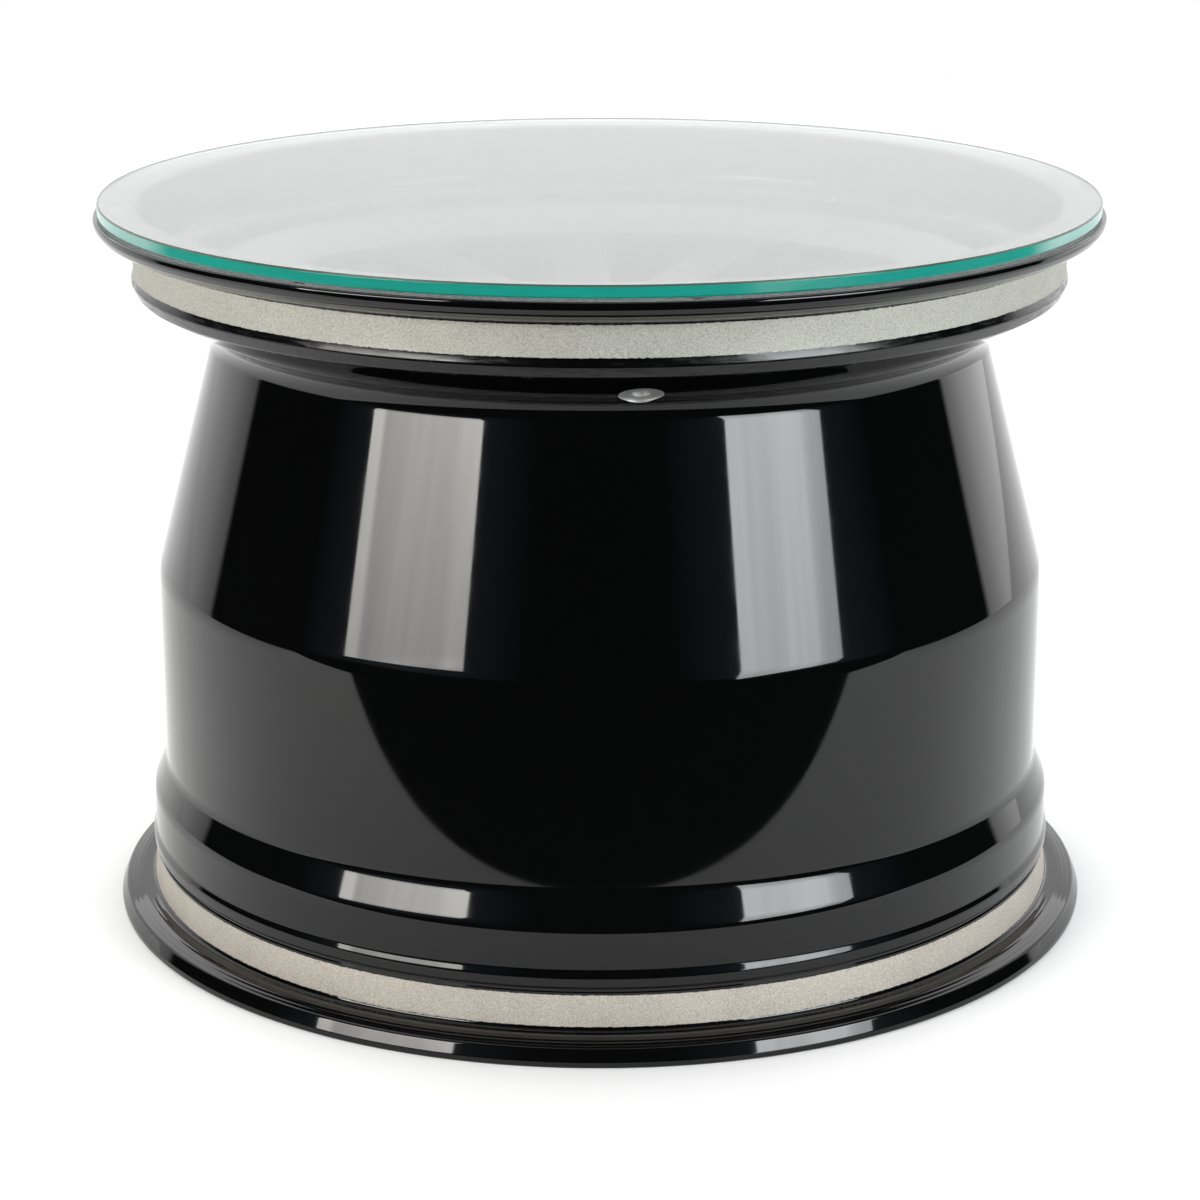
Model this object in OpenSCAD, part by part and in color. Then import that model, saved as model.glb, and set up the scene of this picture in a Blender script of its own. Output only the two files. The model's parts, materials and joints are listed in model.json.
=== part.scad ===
// Side table made from a competition wheel rim. The wheel stands on its inner
// flange with its spokes uppermost, and a round glass top rests on clear bumpers.
// Sizes are millimetres. +Z is up, the origin is the middle of the ring on the
// floor, and the side with the valve hole faces -Y.

/* [Rim ends] */
// Diameter of the bead seats, where a tyre's edge would sit
bead_d = 462; // [440:1:480]
// Distance between the inner faces of the two flanges
rim_w = 330.2; // [300:0.1:360]
// Height of a flange above the bead seat
flange_h = 17.3; // [15:0.1:20]
// Thickness of a flange along the axis
flange_t = 11; // [9:0.5:13]
// Straight part of a flange's edge
lip_t = 3; // [2:0.5:4]
// How far the flange's sloping back runs in from its edge
lip_run = 10; // [8:0.5:12]
// Lean of the bead seats in degrees
seat_lean = 5; // [3:0.5:7]
// Width of the upper bead seat
upper_seat_w = 15.2; // [13:0.1:18]
// Width of the lower bead seat
lower_seat_w = 18; // [15:0.1:20]
// Height of the hump beside the upper bead seat
upper_hump_h = 1.4; // [0.8:0.1:2.5]
// Height of the hump beside the lower bead seat
lower_hump_h = 2.1; // [0.8:0.1:2.5]
// Thickness of the metal behind the bead seats
seat_t = 4.5; // [3.5:0.1:7]

/* [Barrel] */
// Thickness of the barrel's wall
wall_t = 4.8; // [3.5:0.1:7]
// How far the drop centre's corner lies in from the bead seats
well_depth = 39.8; // [30:0.1:48]
// How far the straight part of the barrel lies in from the bead seats
body_drop = 8.2; // [6:0.1:12]
// How far the lower shoulder lies in from the bead seats
shoulder_drop = 1.5; // [0.5:0.1:3]
// Height of the lower shoulder's top corner above the floor
shoulder_top = 57; // [52:1:64]
// Height at which the straight part of the barrel begins
body_bottom = 77; // [72:1:90]
// Height at which the barrel starts to taper
knee_h = 174; // [150:1:190]
// Slope of the side of the drop centre in degrees
well_slope = 29; // [24:1:34]
// Thickness of the side of the drop centre
well_t = 5.5; // [4:0.1:7]

/* [Valve hole] */
// Diameter of the valve hole
valve_d = 8.6; // [7:0.1:12]
// Diameter of the bare spot face round the valve hole
spot_d = 20.3; // [16:0.1:24]
// Depth of the spot face
spot_depth = 0.6; // [0.4:0.1:1]
// Distance of the valve hole in from the top of the drop centre's side
valve_in = 27; // [24:0.5:30]
// Bearing of the valve hole, counter-clockwise from +X
valve_bearing = -84.9; // [-180:0.1:180]

/* [Spoked centre] */
// Number of spokes
spoke_count = 12; // [8:1:14]
// Width of a spoke between its windows
spoke_w = 28; // [20:1:32]
// Depth of a spoke where it meets the barrel
spoke_t = 31; // [24:1:36]
// Slope of the spokes' front face down to the hub in degrees
dish_slope = 5; // [2:0.5:8]
// Radius of the windows' outer corners
window_round = 18; // [8:1:20]
// Radius of the windows' inner ends
window_tip = 9; // [6:0.5:10]
// Diameter of the hub
hub_d = 150; // [140:1:156]
// Height of the hub from its mounting face to its front face
hub_h = 39; // [36:0.5:46]
// Diameter of the hub bore
bore_d = 84; // [80:0.5:88]
// Length of the edge chamfers on the hub and its inserts
hub_chamfer = 1; // [0.5:0.1:1.5]

/* [Hub inserts] */
// Outer diameter of the steel seat ring for the wheel nut
ring_d = 116; // [112:0.5:120]
// Height of the seat ring
ring_h = 16; // [12:0.5:18]
// How far the seat ring stands out of the hub
ring_proud = 2; // [0.5:0.5:4]
// Width of the seat ring's flat top
ring_land = 2; // [1:0.5:3]
// Height of the seat ring at its bore, below its sloping nut seat
ring_inner_h = 4; // [2:0.5:6]
// Outer diameter of a drive pin's steel bush
bush_d = 20; // [16:0.5:22]
// Bore of a drive pin's steel bush
bush_bore_d = 14; // [10:0.5:15]
// Length of a drive pin's bush
bush_h = 18; // [12:0.5:20]

/* [Glass top] */
// How far the glass stops short of the flange's edge
glass_inset = 2.3; // [1:0.1:6]
// Thickness of the glass
glass_t = 6; // [4:0.5:10]
// Width of the ground arris on the edge of the glass
arris = 0.8; // [0.3:0.1:1.5]

/* [Bumpers] */
// Diameter of a clear bumper
bumper_d = 8; // [5:0.5:12]
// Thickness of a clear bumper, which is the gap under the glass
bumper_h = 1; // [0.8:0.1:4]
// Radius of a bumper's upper edge
bumper_round = 0.4; // [0.1:0.1:0.8]

/* [Hidden] */
$fn = 96;

// Roundings of the turned profile
edge_round = 1.5;
lip_round = 5;
back_round = 14;
root_round = 2.5;
hump_round = 3;
crest_round = 2;
well_edge_round = 4;
neck_round = 11;
knee_round = 30;
shoulder_round = 12;
mouth_round = 2.5;
land_round = 3;
// Turn of one step along a rounded corner, in degrees
arc_step = 9;
// Extra reach of a cut past the face that it goes through
over = 1;

// Heights of the rim
wheel_h = 2 * flange_t + rim_w;
upper_face_z = flange_t + rim_w;
glass_z = wheel_h + bumper_h;

// Radii of the rim
bead_r = bead_d / 2;
flange_r = bead_r + flange_h;
mouth_r = bead_r - seat_t;
upper_seat_end_r = bead_r - upper_seat_w * tan(seat_lean);
lower_seat_end_r = bead_r - lower_seat_w * tan(seat_lean);

// Upper hump and the side of the drop centre below it
hump_w = 10.8;
well_top = [bead_r - 2.5, upper_face_z - upper_seat_w - hump_w];
neck = [bead_r - well_depth, well_top.y - (well_top.x - bead_r + well_depth) * tan(well_slope)];

// Lower groove, hump and shoulder
groove_w = 2;
groove_depth = 0.8;
groove_z = flange_t + lower_seat_w;
crest_w = 2.5;
hump_flank = 4;
crest_z = groove_z + groove_w + hump_flank;
lower_crest_r = lower_seat_end_r + lower_hump_h;
shoulder_r = bead_r - shoulder_drop;
body_r = bead_r - body_drop;

// Narrowest radius of the rim, at the rounded corner of the drop centre
taper_lean = atan((well_depth - body_drop) / (neck.y - knee_h));
neck_half = (90 - taper_lean + well_slope) / 2;
neck_aim = (well_slope + taper_lean - 90) / 2;
waist_r = neck.x + neck_round * (cos(neck_aim) / sin(neck_half) - 1);

// Inside of the barrel: a cylindrical land carries the spoked centre
land_r = waist_r - wall_t;
well_inner_rise = well_t / cos(well_slope);
land_top = neck.y + (land_r - neck.x) * tan(well_slope) + well_inner_rise;
mouth_step = neck.y + (mouth_r - neck.x) * tan(well_slope) + well_inner_rise;
spoke_back = land_top - spoke_t;
land_bottom = spoke_back - land_round;
taper_in = tan(taper_lean);
relief_z = (land_r + land_bottom - (body_r - wall_t) - knee_h * taper_in) / (1 - taper_in);
relief_r = land_r + land_bottom - relief_z;

// Hub
hub_r = hub_d / 2;
bore_r = bore_d / 2;
hub_face = land_top - (land_r - hub_r) * tan(dish_slope);
hub_back = hub_face - hub_h;
hub_boss = 7;
ring_r = ring_d / 2;
ring_floor = hub_face + ring_proud - ring_h;
ring_seat_r = ring_r - ring_land;
ring_bore_r = bore_r + ring_land;
pin_circle_r = (bore_r + hub_r) / 2;
pin_count = 6;

// Windows: the least metal left at the hub, and the band round the spokes' outer ends
window_gap = 4;
centre_band = 3;

// Glass and bumpers. The bumpers were stuck on by hand, so their bearings are uneven.
glass_r = flange_r - glass_inset;
bumper_r = (mouth_r + flange_r) / 2;
bumper_bearings = [192, 151, 105, 57, 17, -32, -80, -123];

// A corner list holds [x, y, radius]. Each corner becomes an arc of short steps.
function unit(v) = v / norm(v);
function turn_of(a, b) = sign(a.x * b.y - a.y * b.x);
function corner_arc(before, here, after) =
    let (
        p = [here.x, here.y],
        to_before = [before.x, before.y] - p,
        to_after = [after.x, after.y] - p,
        u = unit(to_before),
        v = unit(to_after),
        half = acos(max(-1, min(1, u * v))) / 2,
        reach = min(here[2] / tan(half), 0.48 * norm(to_before), 0.48 * norm(to_after)),
        radius = reach * tan(half),
        middle = p + unit(u + v) * radius / sin(half),
        first = p + u * reach - middle,
        last = p + v * reach - middle,
        start = atan2(first.y, first.x),
        sweep = (180 - 2 * half) * turn_of(first, last),
        steps = max(1, ceil(abs(sweep) / arc_step))
    )
    [for (i = [0:steps]) middle + radius * [cos(start + sweep * i / steps), sin(start + sweep * i / steps)]];
function rounded(corners) = [
    for (i = [0:len(corners) - 1])
        let (
            count = len(corners),
            here = corners[i],
            before = corners[(i + count - 1) % count],
            after = corners[(i + 1) % count]
        )
        each here[2] == 0 ? [[here.x, here.y]] : corner_arc(before, here, after)
];

// Tyre side of the rim from the floor up
function tyre_side() = [
    [flange_r, 0, edge_round],
    [flange_r, lip_t, lip_round],
    [flange_r - lip_run, flange_t, back_round],
    [bead_r, flange_t, root_round],
    [lower_seat_end_r, groove_z, 0],
    [lower_seat_end_r - groove_depth, groove_z, 0],
    [lower_seat_end_r - groove_depth, groove_z + groove_w, 0],
    [lower_crest_r, crest_z, crest_round],
    [lower_crest_r, crest_z + crest_w, crest_round],
    [shoulder_r, crest_z + crest_w + hump_flank, hump_round],
    [shoulder_r, shoulder_top, shoulder_round],
    [body_r, body_bottom, shoulder_round],
    [body_r, knee_h, knee_round],
    [neck.x, neck.y, neck_round],
    [well_top.x, well_top.y, well_edge_round],
    [upper_seat_end_r + upper_hump_h, upper_face_z - upper_seat_w - hump_w / 2, crest_round],
    [upper_seat_end_r, upper_face_z - upper_seat_w, 0],
    [bead_r, upper_face_z, root_round],
    [flange_r - lip_run, upper_face_z, back_round],
    [flange_r, wheel_h - lip_t, lip_round],
    [flange_r, wheel_h, edge_round]
];

// Open side of the rim from the top down
function open_side() = [
    [mouth_r, wheel_h, mouth_round],
    [mouth_r, mouth_step, shoulder_round],
    [land_r, land_top, 0],
    [land_r, land_bottom, land_round],
    [relief_r, relief_z, shoulder_round],
    [body_r - wall_t, knee_h, knee_round],
    [body_r - wall_t, body_bottom, shoulder_round],
    [mouth_r - 1, shoulder_top, shoulder_round],
    [mouth_r, 0, mouth_round]
];

// Moves its children onto the side of the drop centre, with +Z along the outward normal
module at_valve() {
    rotate([0, 0, valve_bearing])
        translate([well_top.x - valve_in * cos(well_slope), 0, well_top.y - valve_in * sin(well_slope)])
            rotate([0, 180 - well_slope, 0])
                children();
}

module rim_barrel() {
    color("#141416")
        difference() {
            rotate_extrude()
                polygon(rounded(concat(tyre_side(), open_side())));
            at_valve() {
                translate([0, 0, -spot_depth])
                    cylinder(d = spot_d, h = neck_round);
                translate([0, 0, -2 * well_t])
                    cylinder(d = valve_d, h = 2 * well_t + neck_round);
            }
        }
}

// Blank of the spoked centre before its windows are cut
module centre_blank() {
    rotate_extrude()
        polygon(rounded([
            [bore_r + hub_chamfer, hub_back, 0],
            [hub_r, hub_back, hub_chamfer],
            [hub_r, hub_back + hub_boss, root_round],
            [land_r, spoke_back, 0],
            [land_r, land_top, 0],
            [hub_r, hub_face, knee_round],
            [ring_r, hub_face, 0],
            [ring_r, ring_floor, 0],
            [bore_r, ring_floor, 0],
            [bore_r, hub_back + hub_chamfer, 0]
        ]));
}

// Half the width of the window between two spokes, at a distance x from the axis
half_pitch = 180 / spoke_count;
function window_half(x) = x * tan(half_pitch) - spoke_w / 2 / cos(half_pitch);

// Outline of that window, along +X, with a full round at its inner end
function window_outline() =
    let (
        tip_x = max(hub_r + window_gap, (window_tip + spoke_w / 2) / sin(half_pitch) - window_tip),
        end_x = land_r - centre_band
    )
    rounded([
        [tip_x, -window_half(tip_x), window_tip],
        [end_x, -window_half(end_x), window_round],
        [end_x, window_half(end_x), window_round],
        [tip_x, window_half(tip_x), window_tip]
    ]);

module wheel_centre() {
    color("#1b1b1d")
        difference() {
            centre_blank();
            for (i = [0:spoke_count - 1])
                rotate([0, 0, valve_bearing + (i + 0.5) * 360 / spoke_count])
                    translate([0, 0, hub_back - over])
                        linear_extrude(height = wheel_h)
                            polygon(window_outline());
            for (i = [0:pin_count - 1])
                at_pin(i)
                    translate([0, 0, -over])
                        cylinder(d = bush_d, h = bush_h + over);
        }
}

module nut_seat_ring() {
    color("#9a9da1")
        translate([0, 0, ring_floor])
            rotate_extrude()
                polygon([
                    [ring_bore_r, 0],
                    [ring_r, 0],
                    [ring_r, ring_h - hub_chamfer],
                    [ring_r - hub_chamfer, ring_h],
                    [ring_seat_r, ring_h],
                    [ring_bore_r, ring_inner_h]
                ]);
}

// Moves its children to a drive pin's place on the mounting face
module at_pin(i) {
    rotate([0, 0, valve_bearing + i * 360 / pin_count])
        translate([pin_circle_r, 0, hub_back])
            children();
}

module drive_bush(i) {
    bush_r = bush_d / 2;
    bush_bore_r = bush_bore_d / 2;
    color("#8d9094")
        at_pin(i - 1)
            rotate_extrude()
                polygon([
                    [bush_bore_r, 0],
                    [bush_r, 0],
                    [bush_r, bush_h],
                    [bush_bore_r, bush_h]
                ]);
}

module bumper(i) {
    color([0.92, 0.95, 0.95, 0.6])
        rotate([0, 0, bumper_bearings[i - 1]])
            translate([bumper_r, 0, wheel_h])
                rotate_extrude()
                    polygon(rounded([
                        [0, 0, 0],
                        [bumper_d / 2, 0, 0],
                        [bumper_d / 2, bumper_h, bumper_round],
                        [0, bumper_h, 0]
                    ]));
}

module glass_top() {
    color([0.55, 0.85, 0.80, 0.45])
        translate([0, 0, glass_z])
            rotate_extrude()
                polygon([
                    [0, 0],
                    [glass_r - arris, 0],
                    [glass_r, arris],
                    [glass_r, glass_t - arris],
                    [glass_r - arris, glass_t],
                    [0, glass_t]
                ]);
}

rim_barrel();
wheel_centre();
nut_seat_ring();
drive_bush(1);  // drive_bush_1
drive_bush(2);  // drive_bush_2
drive_bush(3);  // drive_bush_3
drive_bush(4);  // drive_bush_4
drive_bush(5);  // drive_bush_5
drive_bush(6);  // drive_bush_6
bumper(1);  // bumper_1
bumper(2);  // bumper_2
bumper(3);  // bumper_3
bumper(4);  // bumper_4
bumper(5);  // bumper_5
bumper(6);  // bumper_6
bumper(7);  // bumper_7
bumper(8);  // bumper_8
glass_top();
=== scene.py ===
# Side table made from a painted competition wheel rim, with a round glass top on clear bumpers.
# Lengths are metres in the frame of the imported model: +Z is up, and the valve hole faces -Y.

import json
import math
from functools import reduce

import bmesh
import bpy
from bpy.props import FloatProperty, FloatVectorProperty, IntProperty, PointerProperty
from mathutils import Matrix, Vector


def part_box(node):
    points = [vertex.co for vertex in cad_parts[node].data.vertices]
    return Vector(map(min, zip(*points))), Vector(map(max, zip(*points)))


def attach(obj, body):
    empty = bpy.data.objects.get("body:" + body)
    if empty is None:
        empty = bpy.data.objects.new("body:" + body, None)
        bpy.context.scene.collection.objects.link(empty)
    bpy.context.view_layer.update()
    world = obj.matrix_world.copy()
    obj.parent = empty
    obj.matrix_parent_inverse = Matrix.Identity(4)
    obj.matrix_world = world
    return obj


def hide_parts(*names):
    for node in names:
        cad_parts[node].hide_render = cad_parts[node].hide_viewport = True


bl_info = {
    "name": "Wheel Rim Table",
    "version": (1, 0, 0),
    "blender": (4, 5, 0),
    "location": "3D View > Sidebar > Rim Table",
    "description": "Models a side table made from a painted wheel rim, a glass top and clear bumpers",
    "category": "Object",
}

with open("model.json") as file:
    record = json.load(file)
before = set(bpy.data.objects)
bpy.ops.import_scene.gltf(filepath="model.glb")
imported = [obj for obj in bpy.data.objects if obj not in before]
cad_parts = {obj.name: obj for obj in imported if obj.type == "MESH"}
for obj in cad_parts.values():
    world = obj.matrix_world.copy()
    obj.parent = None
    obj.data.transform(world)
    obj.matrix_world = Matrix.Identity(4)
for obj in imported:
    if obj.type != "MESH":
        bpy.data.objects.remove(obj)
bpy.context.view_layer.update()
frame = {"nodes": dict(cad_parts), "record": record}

MM = 0.001
MOUNTS = {mount["name"]: mount for mount in frame["record"]["mounts"]}
RIM_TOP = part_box("rim_barrel")[1].z
FLANGE_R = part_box("rim_barrel")[1].y
BORE_R = MOUNTS["hub_bore"]["dims"]["r_mm"] * MM
VALVE = MOUNTS["valve_hole"]
VALVE_BEARING = math.atan2(VALVE["pos_m"][1], VALVE["pos_m"][0])
# Turn between two points on a rounded corner
ARC_TURN = math.radians(7)
# Closest that two points of a finished mesh lie
WELD = 1e-6
# How near to a place a point has to lie to be taken for the one there
NEAR = 20 * WELD
# Turn within which two bearings count as one
SAME_BEARING = 1e-5
# Share of a side that the rounding of one of its corners may take
SIDE_SHARE = 0.48
# Rounding between the side of the drop centre and the taper
NECK_ROUND = 11 * MM
# Steps in a full turn of the pieces other than the barrel
GLASS_STEPS = 256
HUB_STEPS = 192
PIN_STEPS = 64
BUMPER_STEPS = 48
# Points round the window in one spoke's pitch, and rings of faces from the outside to the window
SECTOR_POINTS = 72
SECTOR_RINGS = 7
# How far the spokes run into the hub, and how far a cutter stands out of what it cuts
OVERLAP = 2 * MM
STAND_OUT = MM
# Width of the slanted corners of the glass, and how strongly glass bends light
GLASS_ARRIS = 0.8 * MM
GLASS_IOR = 1.52
# Height of the point that every light faces
AIM_HEIGHT = 0.15


def length(name, description, millimetres):
    """A length property with its default given in millimetres"""
    return FloatProperty(
        name=name, description=description, default=millimetres * MM, min=0.0, precision=4,
        unit="LENGTH", subtype="DISTANCE",
    )


def angle(name, description, degrees):
    """An angle property with its default given in degrees"""
    return FloatProperty(
        name=name, description=description, default=math.radians(degrees),
        unit="ROTATION", subtype="ANGLE",
    )


def colour(name, description, value):
    """A colour property in linear light"""
    return FloatVectorProperty(
        name=name, description=description, default=value, size=3, min=0.0, max=1.0, subtype="COLOR",
    )


def amount(name, description, value):
    """A plain number"""
    return FloatProperty(name=name, description=description, default=value, min=0.0, precision=3)


class RimSizes(bpy.types.PropertyGroup):
    """Sizes of the turned barrel"""

    flange_height: length("Flange height", "Height of a flange above the bead seat", 17.3)
    flange_thickness: length("Flange thickness", "Thickness of a flange along the axis", 11)
    lip_thickness: length("Lip thickness", "Straight part of a flange's edge", 3)
    lip_height: length("Lower lip height", "Height of the lower flange's leaning edge", 8.7)
    lip_lean: length("Lower lip lean", "How far the lower flange's edge leans in", 2.6)
    upper_lip_height: length("Upper lip height", "Height of the upper flange's leaning edge", 6.3)
    upper_lip_lean: length("Upper lip lean", "How far the upper flange's edge leans in", 1.9)
    lip_run: length("Lip run", "How far a flange's sloping back runs in from its edge", 10)
    seat_lean: angle("Seat lean", "Slope of the bead seats", 5)
    upper_seat: length("Upper bead seat", "Width of the upper bead seat", 15.2)
    lower_seat: length("Lower bead seat", "Width of the lower bead seat", 18)
    upper_hump: length("Upper hump", "Height of the hump beside the upper bead seat", 1.4)
    upper_hump_width: length("Upper hump width", "Width of the hump beside the upper bead seat", 10.8)
    lower_hump: length("Lower hump", "Height of the hump beside the lower bead seat", 1.4)
    groove_width: length("Groove width", "Width of the groove beside the lower bead seat", 1.5)
    groove_depth: length("Groove depth", "Depth of the groove beside the lower bead seat", 0.8)
    groove_flank: length("Groove flank", "Width of the lower hump's flank beside the groove", 1.5)
    crest_width: length("Crest width", "Flat top of the lower hump", 4.8)
    hump_flank: length("Hump flank", "Width of the lower hump's flank beside the shoulder", 3.2)
    seat_wall: length("Seat wall", "Thickness of the metal behind the bead seats", 4.5)
    wall: length("Wall", "Thickness of the barrel's wall", 4.8)
    well_depth: length("Drop centre depth", "How far the drop centre lies in from the bead seats", 39.8)
    well_drop: length("Drop centre edge", "How far the drop centre's edge lies in from the bead seats", 2.5)
    well_slope: angle("Drop centre slope", "Slope of the side of the drop centre", 29)
    well_wall: length("Drop centre wall", "Thickness of the side of the drop centre", 5.5)
    body_drop: length("Body drop", "How far the straight part lies in from the bead seats", 8.2)
    shoulder_drop: length("Shoulder drop", "How far the lower shoulder lies in from the bead seats", 1.5)
    shoulder_top: length("Shoulder top", "Height of the lower shoulder's top corner", 60.2)
    body_bottom: length("Body bottom", "Height at which the straight part begins", 75.2)
    knee: length("Knee", "Height at which the barrel starts to taper", 174)
    spot_depth: length("Spot face depth", "Depth of the bare spot face round the valve hole", 0.6)
    spot_diameter: length("Spot face diameter", "Diameter of the bare spot face", 20.3)
    upper_bare_low: length("Upper bare band, low edge", "Height where the paint stops", 324.3)
    upper_bare_high: length("Upper bare band, high edge", "Height where the paint starts again", 338.9)
    lower_bare_low: length("Lower bare band, low edge", "Height where the paint stops", 13)
    lower_bare_high: length("Lower bare band, high edge", "Height where the paint starts again", 27.9)
    steps: IntProperty(
        name="Steps", description="Steps of the turned barrel in a full turn", default=256, min=48, max=360,
    )


class CentreSizes(bpy.types.PropertyGroup):
    """Sizes of the spoked centre and its steel inserts"""

    spokes: IntProperty(name="Spokes", description="Number of spokes", default=12, min=8, max=14)
    spoke_width: length("Spoke width", "Width of a spoke between its windows", 28)
    spoke_depth: length("Spoke depth", "Depth of a spoke where it meets the barrel", 31)
    dish_slope: angle("Dish slope", "Slope of the spokes' front face down to the hub", 5)
    window_round: length("Window rounding", "Radius of the windows' outer corners", 18)
    window_tip: length("Window tip", "Radius of the windows' inner ends", 9)
    window_gap: length("Window gap", "Least metal between the hub and a window", 4)
    rim_band: length("Outer band", "Metal left outside the windows", 3)
    edge_round: length("Edge rounding", "Rounding of the windows' edges", 2.4)
    hub_diameter: length("Hub diameter", "Diameter of the hub", 150)
    hub_height: length("Hub height", "Height of the hub", 39)
    hub_boss: length("Hub boss", "How far the hub stands out behind the spokes", 7)
    ring_proud: length("Ring stand-out", "How far the seat ring stands out of the hub", 2)
    ring_inner: length("Ring inner height", "Height of the seat ring at its bore", 4)
    ring_land: length("Ring land", "Width of the seat ring's flat top", 2)


class PaintColours(bpy.types.PropertyGroup):
    """Colours of the finishes"""

    paint: colour("Black paint", "Gloss black paint on the barrel", (0.0017, 0.0018, 0.0019))
    # Lighter than the barrel's black: partly the satin paint's own tone, partly a painted sheen of the
    # overhead light on the spokes
    centre: colour("Centre paint", "Black paint on the spoked centre", (0.016, 0.016, 0.0165))
    upper_bare: colour("Upper bare metal", "Blasted aluminium of the upper bead seat", (0.43, 0.43, 0.385))
    lower_bare: colour("Lower bare metal", "Blasted aluminium of the lower bead seat", (0.455, 0.425, 0.375))
    spot: colour("Spot face", "Milled aluminium round the valve hole", (0.50, 0.50, 0.49))
    steel: colour("Steel", "Turned steel of the seat ring and the bushes", (0.42, 0.42, 0.43))
    glass: colour("Glass", "Tint of the glass", (0.93, 0.985, 0.97))
    glass_edge: colour("Glass edge", "Colour of the edge of the glass", (0.0098, 0.24, 0.192))
    # Painted reflection: the glass edge's colour turns paler where the edge turns away from the view, in
    # place of the backdrop seen in it
    glass_edge_sheen: colour("Glass edge aside", "Edge of the glass where it turns away", (0.125, 0.30, 0.265))
    glass_arris: colour("Glass arris", "Dark line along the corner of the glass", (0.05, 0.075, 0.05))
    silicone: colour("Silicone", "Clear silicone of the bumpers", (0.90, 0.92, 0.90))


class StageSettings(bpy.types.PropertyGroup):
    """Camera and lights"""

    camera_distance: length("Camera distance", "Distance of the camera from the axis", 1590.8)
    camera_height: length("Camera height", "Height of the camera above the floor", 622.8)
    camera_side: length("Camera offset", "Sideways offset of the camera", 0.05)
    camera_pitch: angle("Camera pitch", "How far the camera looks down", 16.64)
    camera_roll: angle("Camera roll", "Roll of the camera about its view", -0.046)
    camera_lens: FloatProperty(
        name="Lens", description="Focal length for a 36 mm sensor", default=97.17, min=1.0,
        subtype="DISTANCE_CAMERA",
    )
    backdrop: amount("Backdrop", "Brightness of the white backdrop behind the table", 1.2)
    surround: amount("Surround", "Brightness of the dark side of the studio", 0.004)
    overhead: amount("Overhead light", "Brightness of the soft light overhead", 2.2)
    left_softbox: amount("Left softbox", "Brightness of the softbox on the left", 9.0)
    right_softbox: amount("Right softbox", "Brightness of the softbox on the right", 9.3)
    floor_glow: amount("Floor glow", "Brightness of the floor's own light, as on a photo table", 0.17)
    floor: colour("Floor", "Colour of the pale floor", (0.86, 0.86, 0.86))


def sizes():
    """The barrel's property group"""
    return bpy.context.scene.rim_sizes


def centre_sizes():
    """The spoked centre's property group"""
    return bpy.context.scene.rim_centre_sizes


def colours():
    """The finishes' property group"""
    return bpy.context.scene.rim_colours


def numbered(stem):
    """The nodes stem_1, stem_2 and so on, in order"""
    return sorted(name for name in frame["nodes"] if name.startswith(stem + "_"))


def round_box(node_name):
    """Radius, height and place of an upright round node, measured from the middle of its foot"""
    low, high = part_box(node_name)
    middle = (low + high) / 2
    return (high.x - low.x) / 2, high.z - low.z, Matrix.Translation((middle.x, middle.y, low.z))


# Drawing and turning outlines

def select_only(*pieces):
    """Goes to object mode with only these pieces selected, or none, and the last of them active"""
    if bpy.context.mode != "OBJECT":
        bpy.ops.object.mode_set(mode="OBJECT")
    bpy.ops.object.select_all(action="DESELECT")
    for piece in pieces:
        piece.select_set(True)
        bpy.context.view_layer.objects.active = piece


def select_points(piece, test):
    """Selects, in edit mode, the points for which test(position) is true"""
    mesh = bmesh.from_edit_mesh(piece.data)
    bpy.ops.mesh.select_all(action="DESELECT")
    chosen = [point for point in mesh.verts if test(point.co)]
    for point in chosen:
        point.select_set(True)
    mesh.select_flush(True)
    bmesh.update_edit_mesh(piece.data)
    if not chosen:
        raise RuntimeError(f"{piece.name}: no point was found to work on")


def draw_outline(name, corners, closed=True):
    """Draws an outline in the XZ plane by extruding one point from corner to corner"""
    select_only()
    bpy.ops.mesh.primitive_plane_add(size=MM, location=(0, 0, 0))
    piece = bpy.context.object
    piece.name = name
    bpy.ops.object.mode_set(mode="EDIT")
    bpy.ops.mesh.select_all(action="SELECT")
    bpy.ops.mesh.merge(type="CENTER")
    bpy.ops.transform.translate(value=(corners[0][0], 0, corners[0][1]))
    route = corners + corners[:1] if closed else corners
    for here, there in zip(route, route[1:]):
        step = (there[0] - here[0], 0, there[1] - here[1])
        bpy.ops.mesh.extrude_region_move(TRANSFORM_OT_translate={"value": step})
    bpy.ops.mesh.select_all(action="SELECT")
    bpy.ops.mesh.remove_doubles(threshold=WELD)
    return piece


def round_corners(piece, corners, closed=True):
    """Rounds each corner of an outline to its radius"""
    count = len(corners)
    for index, (x, z, radius) in enumerate(corners):
        inner = 0 < index < count - 1
        if radius == 0 or not (closed or inner):
            continue
        here = Vector((x, z))
        before = Vector(corners[index - 1][:2]) - here
        after = Vector(corners[(index + 1) % count][:2]) - here
        half = before.angle(after) / 2
        reach = min(radius / math.tan(half), SIDE_SHARE * before.length, SIDE_SHARE * after.length)
        spot = Vector((x, 0, z))
        select_points(piece, lambda co: (co - spot).length < NEAR)
        bpy.ops.mesh.bevel(
            offset_type="ABSOLUTE", offset=reach, affect="VERTICES", clamp_overlap=False, profile=0.5,
            segments=max(2, math.ceil((math.pi - 2 * half) / ARC_TURN)),
        )


def turned(name, corners, steps, closed=True):
    """A turned solid from an outline of [radius, height, rounding] corners"""
    piece = draw_outline(name, corners, closed)
    round_corners(piece, corners, closed)
    bpy.ops.mesh.select_all(action="SELECT")
    bpy.ops.mesh.spin(steps=steps, angle=2 * math.pi, center=(0, 0, 0), axis=(0, 0, 1))
    bpy.ops.mesh.select_all(action="SELECT")
    bpy.ops.mesh.remove_doubles(threshold=WELD)
    bpy.ops.mesh.normals_make_consistent(inside=False)
    bpy.ops.object.mode_set(mode="OBJECT")
    return piece


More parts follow.
